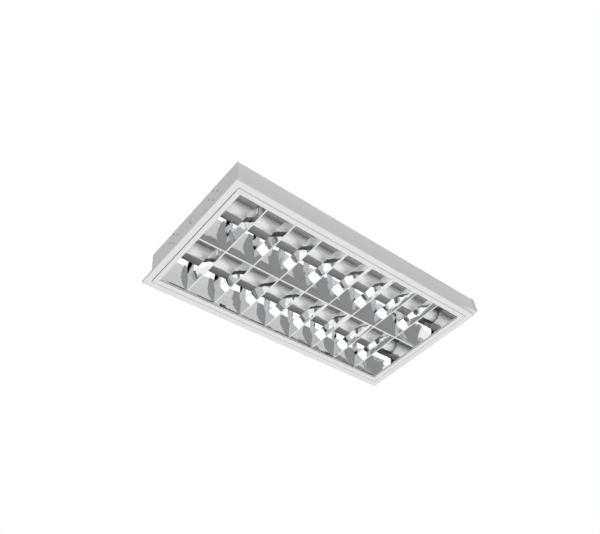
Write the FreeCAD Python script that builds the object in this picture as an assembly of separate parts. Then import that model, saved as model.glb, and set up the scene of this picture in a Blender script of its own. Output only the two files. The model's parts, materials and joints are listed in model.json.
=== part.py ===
import FreeCAD, Part
import math
import os

# Recessed troffer light for two straight tubes, with a double-parabolic louver.
# Frame: X along the tubes, Y across, Z up into the ceiling.
# Origin: centre of the flange's lower face, which rests on the ceiling grid.
# All sizes are in millimetres.

# ---- housing ----
FLANGE_LENGTH = 595.0
FLANGE_WIDTH = 295.0
FLANGE_FACE = 12.0
LIP_HEIGHT = 5.0
LIP_SLIT = 1.0
SHEET = 0.7
BEND = 0.6
BODY_HEIGHT = 70.0
TOP_TAB = 12.0
SIDE_TAB = 9.5
SHELF_START_DROP = 21.0
SHELF_END_DROP = 14.0

# ---- tubes ----
TUBE_RADIUS = 13.0
TUBE_SHORTFALL = 5.2
TUBE_DEPTH = 18.5
GLASS_WALL = 0.8
NECK_STEP = 0.8
NECK_LENGTH = 9.0
SHOULDER_LENGTH = 5.0
CAP_STEP = 0.1
CAP_LENGTH = 8.0
CAP_WALL = 0.4
PIN_RADIUS = 1.15
PIN_PITCH = 12.7
PIN_LENGTH = 7.0

# ---- lampholders ----
HOLDER_DEPTH = 13.0
HOLDER_STANDOFF = 2.0
HOLDER_RADIUS = 12.5
HOLDER_BOSS_RADIUS = 9.0
HOLDER_FOOT_HEIGHT = 3.0
HOLDER_SLOT = 3.2
ROTOR_RADIUS = 9.2
ROTOR_DEPTH = 8.5
ROTOR_SLOT_DEPTH = 7.6
ROTOR_GAP = 0.25
END_GAP = 0.3

# ---- louver ----
FRAME_GAP = 0.8
RAIL_FACE = 10.25
RAIL_WALL_HEIGHT = 10.0
RAIL_LIP_HEIGHT = 5.0
GUSSET_LEG = 26.0
GUSSET_WIDTH = 7.0
GUSSET_SHEET = 0.6
CELLS = 9
END_REFLECTOR_SETBACK = 3.0
RIDGE_WIDTH = 3.0
REFLECTOR_TOP_DROP = 4.9
REFLECTOR_FOCUS_DROP = 9.3
REFLECTOR_SHEET = 0.5
REFLECTOR_FOOT = 8.5
BLADE_HEIGHT = 21.5
BLADE_BOTTOM_WIDTH = 2.6
BLADE_TOP_WIDTH = 14.8
BLADE_SHEET = 0.4
BLADE_CLEARANCE = 0.12
NOTCH_RADIUS = 20.0
NOTCH_FOOT_MARGIN = 1.5
EDGE_SLOT_SHARE = 0.55
EDGE_SLOT_HEIGHT = 1.7
EDGE_SLOT_SHIFT_SHARE = 0.15

# ---- hinge and catches ----
HINGE_INSET = 5.0
HINGE_Z = 2.8
HINGE_PIN_RADIUS = 1.25
HINGE_PIN_HEAD_RADIUS = 1.4
HINGE_PIN_HEAD_LENGTH = 2.0
HINGE_PIN_REACH = 0.6
HINGE_HOLE_GAP = 0.1
CATCH_X = 135.0
CATCH_WIDTH = 10.0
CATCH_SHEET = 0.5
CATCH_FOOT = 6.0
CATCH_HEIGHT = 16.0
CATCH_BUMP_Z = 13.5
CATCH_GAP = 0.3
FINGER_WIDTH = 5.0
FINGER_Z = 8.0
FINGER_DROP = 2.0
FINGER_REACH = 1.6
CATCH_WINDOW_HEIGHT = 5.0
CATCH_WINDOW_MARGIN = 2.0

# ---- holes in the housing ----
HOLDER_HOLE_RADIUS = 2.0
HOLDER_HOLE_CIRCLE = 25.0
HOLDER_HOLES = 4
KNOCKOUT_RADIUS = 10.0
KNOCKOUT_SLIT = 1.2
KNOCKOUT_DEPTH = 21.0
KNOCKOUT_BRIDGE_DEG = 90.0
FIXING_HOLE_RADIUS = 3.0
FIXING_SPACING_X = 400.0
FIXING_SPACING_Y = 180.0

# ---- control gear ----
BALLAST_LENGTH = 230.0
BALLAST_WIDTH = 30.0
BALLAST_HEIGHT = 21.0
BALLAST_CORNER = 2.0
BALLAST_EAR = 12.0
BALLAST_EAR_SHEET = 1.2
STRIP_LENGTH = 14.0
STRIP_MARGIN = 3.0
STRIP_SETBACK = 1.0
STRIP_HOLE_DEPTH = 6.0
SCREW_RADIUS = 2.0
SCREW_HEAD_RADIUS = 3.6
SCREW_HEAD_HEIGHT = 2.2
BLOCK_X = -232.0
BLOCK_LENGTH = 24.0
BLOCK_WIDTH = 26.0
BLOCK_HEIGHT = 15.0
BLOCK_HOLE_DEPTH = 8.0
BLOCK_SCREW_DEPTH = 3.0
BLOCK_GROOVE = 1.2
BLOCK_GROOVE_DEPTH = 2.5
POLES = 3
POLE_RADIUS = 2.2
CLAMP_RADIUS = 1.9
EARTH_X = -178.0
EARTH_Y = 9.0
LUG_RADIUS = 4.6
LUG_SHEET = 1.0
LUG_BARREL_RADIUS = 1.7
LUG_BARREL_LENGTH = 10.0
LUG_BARREL_DROP = 2.1

# ---- leads ----
LEAD_RADIUS = 1.2
TWIN_LEAD_RADIUS = 1.6
LEAD_PITCH = 6.0
LEAD_ARC_SHARE = 0.45
CLIP_LENGTH = 4.0
CLIP_WIDTH = 9.0
CLIP_WALL = 1.4
CLIP_CLEARANCE = 0.3

# ---- places worked out from the sizes above ----
EDGE_X = FLANGE_LENGTH / 2
EDGE_Y = FLANGE_WIDTH / 2
WALL_X = EDGE_X - FLANGE_FACE
WALL_Y = EDGE_Y - FLANGE_FACE
WALL_IN_X = WALL_X - SHEET
WALL_IN_Y = WALL_Y - SHEET
ROOF_Z = BODY_HEIGHT - SHEET
FLANGE_ZONE_Z = LIP_HEIGHT + SHEET
FRAME_X = WALL_IN_X - FRAME_GAP
FRAME_Y = WALL_IN_Y - FRAME_GAP
OPENING_X = FRAME_X - RAIL_FACE
OPENING_Y = FRAME_Y - RAIL_FACE
LOUVER_HALF = OPENING_X + END_REFLECTOR_SETBACK
CELL_PITCH = 2 * LOUVER_HALF / CELLS
KNOCKOUT_Z = BODY_HEIGHT - KNOCKOUT_DEPTH
TUBE_Z = BODY_HEIGHT - TUBE_DEPTH
TUBE_LENGTH = FLANGE_LENGTH - TUBE_SHORTFALL
TUBE_START = -WALL_IN_X + HOLDER_STANDOFF + HOLDER_DEPTH + END_GAP
TUBE_END = TUBE_START + TUBE_LENGTH
NECK_RADIUS = TUBE_RADIUS - NECK_STEP
CAP_RADIUS = TUBE_RADIUS - CAP_STEP
CAP_BORE_RADIUS = CAP_RADIUS - CAP_WALL
BOX_IN_X = TUBE_END + END_GAP + HOLDER_DEPTH + HOLDER_STANDOFF
BOX_X = BOX_IN_X + SHEET
SHELF_START_Z = TUBE_Z - SHELF_START_DROP
SHELF_END_Z = TUBE_Z - SHELF_END_DROP
SHELF_SLOPE = (SHELF_END_Z - SHELF_START_Z) / (BOX_X - WALL_X)
ROW_HALF = (OPENING_Y + REFLECTOR_SHEET / 2 - RIDGE_WIDTH / 2) / 2
ROW_Y = RIDGE_WIDTH / 2 + ROW_HALF
ROW_CENTRES = (-ROW_Y, ROW_Y)
REFLECTOR_BOTTOM_Z = RAIL_LIP_HEIGHT
REFLECTOR_TOP_Z = TUBE_Z - REFLECTOR_TOP_DROP
FOCUS_Z = TUBE_Z - REFLECTOR_FOCUS_DROP
FOCUS_RISE = FOCUS_Z - REFLECTOR_BOTTOM_Z
FOCAL = (math.hypot(FOCUS_RISE, ROW_HALF) - FOCUS_RISE) / 2
HINGE_Y = -(FRAME_Y - HINGE_INSET)
HOLDER_TOP_Z = ROOF_Z - SHEET - BEND - END_GAP
HOLDER_FACES = ((TUBE_START - END_GAP, -1), (TUBE_END + END_GAP, 1))
BALLAST_LOW_Z = ROOF_Z - BALLAST_HEIGHT
BALLAST_HOLE_Z = ROOF_Z - BALLAST_HEIGHT / 2
BALLAST_HOLE_X = BALLAST_LENGTH / 2 - STRIP_SETBACK - STRIP_HOLE_DEPTH
BALLAST_SCREW_X = BALLAST_LENGTH / 2 + BALLAST_EAR / 2
BLOCK_END_X = BLOCK_X + BLOCK_LENGTH
BLOCK_MIDDLE_X = BLOCK_X + BLOCK_LENGTH / 2
BLOCK_HOLE_Z = ROOF_Z - BLOCK_HEIGHT / 2
LUG_BARREL_Z = ROOF_Z - LUG_BARREL_DROP
CUT = 1.0


# ---- basic shapes -------------------------------------------------------


def vec(x, y, z):
    return FreeCAD.Vector(x, y, z)


def box(x0, x1, y0, y1, z0, z1):
    """Upright block between two corners, given in any order."""
    low = vec(min(x0, x1), min(y0, y1), min(z0, z1))
    return Part.makeBox(abs(x1 - x0), abs(y1 - y0), abs(z1 - z0), low)


def rod(radius, start, end):
    """Round bar between two points."""
    along = end.sub(start)
    return Part.makeCylinder(radius, along.Length, start, along)


def prism(points, direction):
    """Straight-sided block on a polygon."""
    return Part.Face(Part.makePolygon(points + [points[0]])).extrude(direction)


def loop_face(edges):
    return Part.Face(Part.Wire(Part.__sortEdges__(edges)))


def joined(shapes):
    """One solid from touching shapes, without the seams between them."""
    return shapes[0].fuse(shapes[1:]).removeSplitter()


def save(name, shapes):
    """Write one sub-part, as a group where it is made of several solids."""
    solids = [solid for shape in shapes for solid in shape.Solids]
    body = solids[0] if len(solids) == 1 else Part.makeCompound(solids)
    body.exportStep("parts/" + name + ".step")


# ---- folded sheet -------------------------------------------------------


def unit(start, end):
    length = math.hypot(end[0] - start[0], end[1] - start[1])
    return ((end[0] - start[0]) / length, (end[1] - start[1]) / length)


def turn(path, i):
    """Positive where the path turns left at its i-th point."""
    a = unit(path[i - 1], path[i])
    b = unit(path[i], path[i + 1])
    return a[0] * b[1] - a[1] * b[0]


def side_corners(path, offset):
    """Corners of a sheet's face, set off to the left of its middle line."""
    corners = []
    last = len(path) - 1
    for i, point in enumerate(path):
        into = unit(path[i - 1], point) if i > 0 else unit(point, path[1])
        out = unit(point, path[i + 1]) if i < last else into
        stretch = 1.0 + into[0] * out[0] + into[1] * out[1]
        shift_u = -(into[1] + out[1]) / stretch
        shift_v = (into[0] + out[0]) / stretch
        corners.append((point[0] + offset * shift_u, point[1] + offset * shift_v))
    return corners


def rounded_side(corners, radii, place):
    """Edges along one face of a folded sheet, with an arc at every fold."""
    edges = []
    start = corners[0]
    for i in range(1, len(corners) - 1):
        into = unit(corners[i - 1], corners[i])
        out = unit(corners[i], corners[i + 1])
        half = math.acos(into[0] * out[0] + into[1] * out[1]) / 2
        reach = radii[i] * math.tan(half)
        rise = radii[i] * (1 / math.cos(half) - 1)
        inward = unit(into, out)
        a = (corners[i][0] - into[0] * reach, corners[i][1] - into[1] * reach)
        b = (corners[i][0] + out[0] * reach, corners[i][1] + out[1] * reach)
        middle = (corners[i][0] + inward[0] * rise, corners[i][1] + inward[1] * rise)
        edges.append(Part.makeLine(place(start), place(a)))
        edges.append(Part.Arc(place(a), place(middle), place(b)).toShape())
        start = b
    edges.append(Part.makeLine(place(start), place(corners[-1])))
    return edges


def folded_sheet(path, thickness, place, direction):
    """Sheet folded along a middle line of (u, v) points and drawn out in a direction."""
    left = side_corners(path, thickness / 2)
    right = side_corners(path, -thickness / 2)
    folds = range(1, len(path) - 1)
    left_radii = {i: BEND if turn(path, i) > 0 else BEND + thickness for i in folds}
    right_radii = {i: BEND if turn(path, i) < 0 else BEND + thickness for i in folds}
    edges = rounded_side(left, left_radii, place)
    edges.extend(rounded_side(right, right_radii, place))
    edges.append(Part.makeLine(place(left[-1]), place(right[-1])))
    edges.append(Part.makeLine(place(left[0]), place(right[0])))
    return loop_face(edges).extrude(direction)


def across(x):
    """Sets (u, v) as (y, z) on the plane at x."""
    return lambda point: vec(x, point[0], point[1])


def lengthways(y, end):
    """Sets (u, v) as (x, z) on the plane at y, mirrored where end is -1."""
    return lambda point: vec(end * point[0], y, point[1])


def flat(z, side):
    """Sets (u, v) as (x, y) on the plane at z, mirrored where side is -1."""
    return lambda point: vec(point[0], side * point[1], z)


# ---- housing ------------------------------------------------------------


def lip_slits():
    """Small open notch between the lips at each corner of the flange."""
    slits = []
    for sx in (-1, 1):
        for sy in (-1, 1):
            x0, x1 = sx * (EDGE_X - LIP_SLIT), sx * (EDGE_X + CUT)
            y0, y1 = sy * (EDGE_Y - LIP_SLIT), sy * (EDGE_Y + CUT)
            slits.append(box(x0, x1, y0, y1, SHEET, LIP_HEIGHT + CUT))
    return slits


def mitre_cuts(for_long_side):
    """Blocks that end the flanges of the long or the short sides at 45 degrees."""
    past = FLANGE_FACE + CUT
    inner = (WALL_X, WALL_Y)
    outer = (WALL_X + past, WALL_Y + past)
    if for_long_side:
        rest = [(WALL_X + past, WALL_IN_Y - CUT), (WALL_X, WALL_IN_Y - CUT)]
    else:
        rest = [(WALL_IN_X - CUT, WALL_Y + past), (WALL_IN_X - CUT, WALL_Y)]
    cuts = []
    for sx in (-1, 1):
        for sy in (-1, 1):
            plan = [vec(sx * x, sy * y, -CUT) for x, y in [inner, outer] + rest]
            cuts.append(prism(plan, vec(0, 0, FLANGE_ZONE_Z + CUT)))
    return cuts


def fixing_holes():
    """Holes through the roof for the suspension or safety fixings."""
    holes = []
    for sx in (-1, 1):
        for sy in (-1, 1):
            x, y = sx * FIXING_SPACING_X / 2, sy * FIXING_SPACING_Y / 2
            holes.append(rod(FIXING_HOLE_RADIUS, vec(x, y, ROOF_Z - CUT), vec(x, y, BODY_HEIGHT + CUT)))
    return holes


def under_shelf():
    """Space below the raised lamp-end box, where the walls are cut away."""
    y = -EDGE_Y - CUT
    low = FLANGE_ZONE_Z - CUT / 2
    outline = [
        vec(WALL_X, y, low),
        vec(BOX_X + CUT, y, low),
        vec(BOX_X + CUT, y, SHELF_END_Z + CUT * SHELF_SLOPE),
        vec(WALL_X, y, SHELF_START_Z),
    ]
    return prism(outline, vec(0, FLANGE_WIDTH + 2 * CUT, 0))


def housing_pan():
    """Roof, long walls, long flanges and their lips, folded from one sheet."""
    half = SHEET / 2
    one_side = [
        (EDGE_Y - half, LIP_HEIGHT),
        (EDGE_Y - half, half),
        (WALL_Y - half, half),
        (WALL_Y - half, BODY_HEIGHT - half),
    ]
    other_side = [(-y, z) for y, z in reversed(one_side)]
    pan = folded_sheet(one_side + other_side, SHEET, across(-EDGE_X), vec(BOX_IN_X + EDGE_X, 0, 0))
    top = BODY_HEIGHT + CUT
    cuts = [box(-EDGE_X - CUT, -WALL_X, -EDGE_Y, EDGE_Y, FLANGE_ZONE_Z - CUT / 2, top), under_shelf()]
    for side in (-1, 1):
        beyond = side * (EDGE_Y + CUT)
        within = side * (WALL_IN_Y - CUT)
        cuts.append(box(EDGE_X, BOX_X, within, beyond, -CUT, FLANGE_ZONE_Z))
        cuts.append(box(BOX_IN_X - BEND, BOX_X, within, beyond, SHELF_START_Z, top))
    cuts += mitre_cuts(True) + lip_slits() + fixing_holes()
    return pan.cut(cuts).removeSplitter()


def end_sheet_trim():
    """What lies beside an end sheet's wall: only its flange is wider than the walls."""
    cuts = []
    for side in (-1, 1):
        inner = side * WALL_IN_Y
        beyond = side * (EDGE_Y + CUT)
        inside_fold = side * (WALL_IN_Y - BEND)
        cuts.append(box(-BOX_X - CUT, BOX_X + CUT, inner, beyond, FLANGE_ZONE_Z, BODY_HEIGHT + CUT))
        cuts.append(box(-WALL_X, WALL_X, inner, beyond, -CUT, FLANGE_ZONE_Z))
        cuts.append(box(-WALL_X, WALL_X, inside_fold, beyond, ROOF_Z - SHEET - BEND, ROOF_Z))
    return cuts


def holder_holes(x):
    """Four small holes round each tube's axis, through the end sheet at x."""
    cuts = []
    reach = HOLDER_HOLE_CIRCLE / 2
    for row in ROW_CENTRES:
        for i in range(HOLDER_HOLES):
            angle = 2 * math.pi * i / HOLDER_HOLES
            y = row + reach * math.cos(angle)
            z = TUBE_Z + reach * math.sin(angle)
            cuts.append(rod(HOLDER_HOLE_RADIUS, vec(x - CUT, y, z), vec(x + CUT, y, z)))
    return cuts


def hinge_hole(x):
    """Hole for a hinge pin through the sheet at x, with the pin's running clearance."""
    radius = HINGE_PIN_RADIUS + HINGE_HOLE_GAP
    return rod(radius, vec(x - CUT, HINGE_Y, HINGE_Z), vec(x + CUT, HINGE_Y, HINGE_Z))


def knockout_slit():
    """Three quarters of a ring of slit round the cable knock-out, which hangs on the rest."""
    start = vec(-WALL_X - CUT, 0, KNOCKOUT_Z)
    end = vec(-WALL_IN_X + CUT, 0, KNOCKOUT_Z)
    ring = rod(KNOCKOUT_RADIUS, start, end).cut(rod(KNOCKOUT_RADIUS - KNOCKOUT_SLIT, start, end))
    reach = 2 * KNOCKOUT_RADIUS
    bridge = box(start.x, end.x, 0, reach, KNOCKOUT_Z, KNOCKOUT_Z + reach)
    bridge.rotate(start, vec(1, 0, 0), KNOCKOUT_BRIDGE_DEG)
    return ring.cut(bridge)


def near_end_plate():
    """Folded end sheet: lip, flange, wall and a tab under the roof."""
    half = SHEET / 2
    path = [
        (EDGE_X - half, LIP_HEIGHT),
        (EDGE_X - half, half),
        (WALL_X - half, half),
        (WALL_X - half, ROOF_Z - half),
        (WALL_X - TOP_TAB, ROOF_Z - half),
    ]
    sheet = folded_sheet(path, SHEET, lengthways(-EDGE_Y, -1), vec(0, FLANGE_WIDTH, 0))
    cuts = end_sheet_trim() + mitre_cuts(False) + lip_slits() + holder_holes(-WALL_X)
    cuts += [hinge_hole(-WALL_X), knockout_slit()]
    return sheet.cut(cuts).removeSplitter()


def far_end_plate():
    """Folded end sheet that steps out over the grid bar as a raised lamp-end box."""
    half = SHEET / 2
    rise = half * (1 - SHELF_SLOPE)
    path = [
        (EDGE_X - half, LIP_HEIGHT),
        (EDGE_X - half, half),
        (WALL_X - half, half),
        (WALL_X - half, SHELF_START_Z + rise),
        (BOX_X - half, SHELF_END_Z + rise),
        (BOX_X - half, BODY_HEIGHT),
    ]
    sheet = folded_sheet(path, SHEET, lengthways(-EDGE_Y, 1), vec(0, FLANGE_WIDTH, 0))
    cuts = end_sheet_trim() + mitre_cuts(False) + lip_slits() + holder_holes(BOX_X)
    cuts.append(hinge_hole(WALL_X))
    return joined([sheet.cut(cuts)] + [side_tab(side) for side in (-1, 1)])


def side_tab(side):
    """Tab of the end wall, folded round the end of a long wall."""
    half = SHEET / 2
    bottom = SHELF_END_Z + SHEET + BEND
    path = [
        (BOX_X - SIDE_TAB, WALL_Y + half),
        (BOX_X - half, WALL_Y + half),
        (BOX_X - half, WALL_IN_Y),
    ]
    return folded_sheet(path, SHEET, flat(bottom, side), vec(0, 0, BODY_HEIGHT - bottom))


# ---- tubes and lampholders ----------------------------------------------


def turned(profile, y):
    """Solid of revolution about a tube's axis, from (x, radius) points."""
    points = [vec(x, y, TUBE_Z + radius) for x, radius in profile]
    outline = Part.makePolygon(points + [points[0]])
    return Part.Face(outline).revolve(vec(0, y, TUBE_Z), vec(1, 0, 0), 360)


def tube_glass(y):
    """Glass envelope: a long thin wall that necks down into the cap at each end."""
    start = TUBE_START + CAP_WALL
    end = TUBE_END - CAP_WALL
    shoulder = NECK_LENGTH + SHOULDER_LENGTH
    outside = [
        (start, NECK_RADIUS),
        (start + NECK_LENGTH, NECK_RADIUS),
        (start + shoulder, TUBE_RADIUS),
        (end - shoulder, TUBE_RADIUS),
        (end - NECK_LENGTH, NECK_RADIUS),
        (end, NECK_RADIUS),
    ]
    inside = [(x, radius - GLASS_WALL) for x, radius in reversed(outside)]
    return turned(outside + inside, y)


def tube_caps(y):
    """Metal cap at each end of the glass: a cup over the neck."""
    caps = []
    for face, inward in ((TUBE_START, 1), (TUBE_END, -1)):
        rim = face + inward * CAP_LENGTH
        floor = face + inward * CAP_WALL
        cup = [
            (face, 0),
            (face, CAP_RADIUS),
            (rim, CAP_RADIUS),
            (rim, CAP_BORE_RADIUS),
            (floor, CAP_BORE_RADIUS),
            (floor, 0),
        ]
        caps.append(turned(cup, y))
    return caps


def tube_pins(y):
    """Two contact pins at each end, level with each other when the tube is locked."""
    pins = []
    for face, outward in ((TUBE_START, -1), (TUBE_END, 1)):
        for side in (-1, 1):
            start = vec(face, y + side * PIN_PITCH / 2, TUBE_Z)
            pins.append(rod(PIN_RADIUS, start, start.add(vec(outward * PIN_LENGTH, 0, 0))))
    return pins


def tube_rotors(y):
    """Slotted rotor of each lampholder, which turns with the tube's pins."""
    rotors = []
    for face, outward in HOLDER_FACES:
        start = vec(face + outward * END_GAP, y, TUBE_Z)
        disc = Part.makeCylinder(ROTOR_RADIUS, ROTOR_DEPTH, start, vec(outward, 0, 0))
        reach = ROTOR_RADIUS + CUT
        half = PIN_RADIUS + ROTOR_GAP
        floor = start.x + outward * ROTOR_SLOT_DEPTH
        slot = box(start.x - outward * CUT, floor, y - reach, y + reach, TUBE_Z - half, TUBE_Z + half)
        rotors.append(disc.cut(slot))
    return rotors


def lampholder(y, face, outward):
    """Moulded holder: round-bottomed block with a rotor pocket and a way in for the pins."""
    back = face + outward * HOLDER_DEPTH
    plate = back + outward * HOLDER_STANDOFF
    inside = back - outward * CUT
    foot_z = HOLDER_TOP_Z - HOLDER_FOOT_HEIGHT
    nose = rod(HOLDER_RADIUS, vec(face, y, TUBE_Z), vec(back, y, TUBE_Z))
    stem = box(face, back, y - HOLDER_RADIUS, y + HOLDER_RADIUS, TUBE_Z, HOLDER_TOP_Z)
    boss = rod(HOLDER_BOSS_RADIUS, vec(inside, y, TUBE_Z), vec(plate, y, TUBE_Z))
    foot = box(inside, plate, y - HOLDER_RADIUS, y + HOLDER_RADIUS, foot_z, HOLDER_TOP_Z)
    body = joined([nose, stem, boss, foot])
    floor = face + outward * (ROTOR_DEPTH + 2 * END_GAP)
    mouth = face - outward * CUT
    pocket = rod(ROTOR_RADIUS + ROTOR_GAP, vec(mouth, y, TUBE_Z), vec(floor, y, TUBE_Z))
    half = HOLDER_SLOT / 2
    slot = box(mouth, floor, y - half, y + half, TUBE_Z - HOLDER_RADIUS - CUT, TUBE_Z)
    return body.cut([pocket, slot])


# ---- louver: reflectors and blades --------------------------------------


def wall_point(height, offset):
    """Half width and height on a trough's parabola, moved outwards by an offset."""
    half_width = math.sqrt(4 * FOCAL * (FOCUS_Z + FOCAL - height))
    lean = math.hypot(half_width, 2 * FOCAL)
    return half_width + offset * half_width / lean, height + offset * 2 * FOCAL / lean


def trough_wall(x, centre, side, offset):
    """Parabolic edge of one trough wall, whose focus is just below the tube.

    A parabola is a curve of three poles: its two ends, and the point where
    the tangents at the ends meet.
    """
    low_width = wall_point(REFLECTOR_BOTTOM_Z, 0)[0]
    high_width = wall_point(REFLECTOR_TOP_Z, 0)[0]
    skin_rise = max(offset, 0) - offset * 2 * FOCAL / math.hypot(low_width, 2 * FOCAL)
    start_w, start_z = wall_point(REFLECTOR_BOTTOM_Z + skin_rise, offset)
    end_w, end_z = wall_point(REFLECTOR_TOP_Z, offset)
    moment = 2 * FOCAL * (start_z - end_z) + low_width * start_w - high_width * end_w
    meet_w = moment / (low_width - high_width)
    meet_z = end_z - high_width * (meet_w - end_w) / (2 * FOCAL)
    poles = [(start_w, start_z), (meet_w, meet_z), (end_w, end_z)]
    curve = Part.BezierCurve()
    curve.setPoles([vec(x, centre + side * w, z) for w, z in poles])
    return curve.toShape()


def low_end(edge):
    return min((v.Point for v in edge.Vertexes), key=lambda point: point.z)


def high_end(edge):
    return max((v.Point for v in edge.Vertexes), key=lambda point: point.z)


def side_reflector(side):
    """Parabolic reflector along a long rail, with a foot that lies on the rail's lip."""
    start = -LOUVER_HALF
    face = trough_wall(start, side * ROW_Y, side, 0)
    back = trough_wall(start, side * ROW_Y, side, REFLECTOR_SHEET)
    foot_y = side * (OPENING_Y + REFLECTOR_FOOT)
    foot_low = vec(start, foot_y, REFLECTOR_BOTTOM_Z)
    foot_high = vec(start, foot_y, REFLECTOR_BOTTOM_Z + REFLECTOR_SHEET)
    edges = [
        face,
        back,
        Part.makeLine(high_end(face), high_end(back)),
        Part.makeLine(low_end(back), foot_high),
        Part.makeLine(foot_high, foot_low),
        Part.makeLine(foot_low, low_end(face)),
    ]
    sheet = loop_face(edges).extrude(vec(2 * LOUVER_HALF, 0, 0))
    cuts = [edge_slot(side, i) for i in range(CELLS)]
    if side > 0:
        cuts += [catch_window(x) for x in (-CATCH_X, CATCH_X)]
    return sheet.cut(cuts)


def cell_x(i):
    """Middle of the i-th cell, counted from the near end."""
    return (i + 0.5) * CELL_PITCH - LOUVER_HALF


def edge_slot(side, i):
    """Long narrow slot just above the reflector's foot, one in each cell."""
    length = EDGE_SLOT_SHARE * CELL_PITCH
    start = cell_x(i) + EDGE_SLOT_SHIFT_SHARE * CELL_PITCH - length / 2
    low = REFLECTOR_BOTTOM_Z + REFLECTOR_SHEET
    inner = side * (OPENING_Y - 2 * EDGE_SLOT_HEIGHT)
    outer = side * (OPENING_Y + EDGE_SLOT_HEIGHT)
    return box(start, start + length, inner, outer, low, low + EDGE_SLOT_HEIGHT)


def catch_window(x):
    """Opening in the reflector's lower edge, where a catch spring's finger comes through."""
    half = CATCH_WIDTH / 2 + CATCH_WINDOW_MARGIN
    low = REFLECTOR_BOTTOM_Z - CUT
    high = REFLECTOR_BOTTOM_Z + CATCH_WINDOW_HEIGHT
    return box(x - half, x + half, OPENING_Y - CATCH_WINDOW_HEIGHT, WALL_Y, low, high)


def centre_reflector():
    """V-shaped middle reflector: two parabolic wings folded up from the centre ridge."""
    start = -LOUVER_HALF
    faces = [trough_wall(start, side * ROW_Y, -side, 0) for side in (-1, 1)]
    backs = [trough_wall(start, side * ROW_Y, -side, REFLECTOR_SHEET) for side in (-1, 1)]
    edges = faces + backs
    edges.append(Part.makeLine(low_end(faces[0]), low_end(faces[1])))
    edges.append(Part.makeLine(low_end(backs[0]), low_end(backs[1])))
    for face, back in zip(faces, backs):
        edges.append(Part.makeLine(high_end(face), high_end(back)))
    return loop_face(edges).extrude(vec(2 * LOUVER_HALF, 0, 0))


def end_reflector(end):
    """Upright end of both troughs, with an open-topped notch round each tube."""
    half = REFLECTOR_SHEET / 2
    path = [
        (OPENING_X, REFLECTOR_BOTTOM_Z + half),
        (LOUVER_HALF + half, REFLECTOR_BOTTOM_Z + half),
        (LOUVER_HALF + half, REFLECTOR_TOP_Z),
    ]
    sheet = folded_sheet(path, REFLECTOR_SHEET, lengthways(-OPENING_Y, end), vec(0, 2 * OPENING_Y, 0))
    foot_half = ROW_HALF - NOTCH_FOOT_MARGIN
    foot_top = REFLECTOR_BOTTOM_Z + REFLECTOR_SHEET + BEND
    inner, outer = end * (OPENING_X - CUT), end * LOUVER_HALF
    cuts = []
    for y0, y1 in (
        (-OPENING_Y, -ROW_Y - foot_half),
        (foot_half - ROW_Y, ROW_Y - foot_half),
        (ROW_Y + foot_half, OPENING_Y),
    ):
        cuts.append(box(inner, outer, y0, y1, REFLECTOR_BOTTOM_Z - CUT, foot_top))
    for y in ROW_CENTRES:
        start = vec(end * (LOUVER_HALF - CUT), y, TUBE_Z)
        cuts.append(rod(NOTCH_RADIUS, start, start.add(vec(end * (REFLECTOR_SHEET + 2 * CUT), 0, 0))))
    return sheet.cut(cuts)


def blade_section(x):
    """Outline of a cross blade: two wings folded up from a narrow bottom edge."""
    bottom = REFLECTOR_BOTTOM_Z
    top = bottom + BLADE_HEIGHT
    outside = []
    inside = []
    for side in (-1, 1):
        low = vec(x + side * BLADE_BOTTOM_WIDTH / 2, 0, bottom)
        high = vec(x + side * BLADE_TOP_WIDTH / 2, 0, top)
        skin = vec(-side * BLADE_SHEET, 0, 0)
        skin_low = low.add(skin).add(vec(0, 0, BLADE_SHEET))
        outside.append((low, high))
        inside.append((skin_low, high.add(skin)))
    left, right = outside
    skin_left, skin_right = inside
    outline = [left[1], left[0], right[0], right[1], skin_right[1], skin_right[0], skin_left[0], skin_left[1]]
    return Part.Face(Part.makePolygon(outline + [outline[0]]))


def trough_space(centre):
    """The space inside one trough, kept a little clear of its walls."""
    walls = [trough_wall(-LOUVER_HALF, centre, side, -BLADE_CLEARANCE) for side in (-1, 1)]
    lows = Part.makeLine(low_end(walls[0]), low_end(walls[1]))
    highs = Part.makeLine(high_end(walls[0]), high_end(walls[1]))
    return loop_face(walls + [lows, highs]).extrude(vec(2 * LOUVER_HALF, 0, 0))


def cross_blade(i, spaces):
    """The i-th cross blade: one strip in each trough, its ends shaped to the reflectors."""
    section = blade_section(-LOUVER_HALF + (i + 1) * CELL_PITCH)
    strips = []
    for space, side in zip(spaces, (-1, 1)):
        strip = section.extrude(vec(0, side * (OPENING_Y + CUT), 0))
        strips.append(strip.common(space))
    return strips


# ---- louver: frame, hinge and catches -----------------------------------


def rail_path(outer):
    """Middle line of a channel rail: outer wall, visible face and inner lip."""
    half = SHEET / 2
    return [
        (outer - half, RAIL_WALL_HEIGHT),
        (outer - half, half),
        (outer - RAIL_FACE + half, half),
        (outer - RAIL_FACE + half, RAIL_LIP_HEIGHT),
    ]


def mitred(along_x, sign):
    """Tall block over a rail's plan, with 45-degree ends."""
    depth = RAIL_FACE + CUT
    outer = FRAME_Y if along_x else FRAME_X
    reach = FRAME_X if along_x else FRAME_Y
    plan = [(-reach, outer), (reach, outer), (reach - depth, outer - depth), (depth - reach, outer - depth)]
    if along_x:
        points = [vec(u, sign * v, -CUT) for u, v in plan]
    else:
        points = [vec(sign * v, u, -CUT) for u, v in plan]
    return prism(points, vec(0, 0, RAIL_WALL_HEIGHT + 2 * CUT))


def long_rail(side):
    """White channel rail along one long side of the louver."""
    path = [(side * y, z) for y, z in rail_path(FRAME_Y)]
    rail = folded_sheet(path, SHEET, across(-FRAME_X), vec(2 * FRAME_X, 0, 0))
    return rail.common(mitred(True, side))


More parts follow.
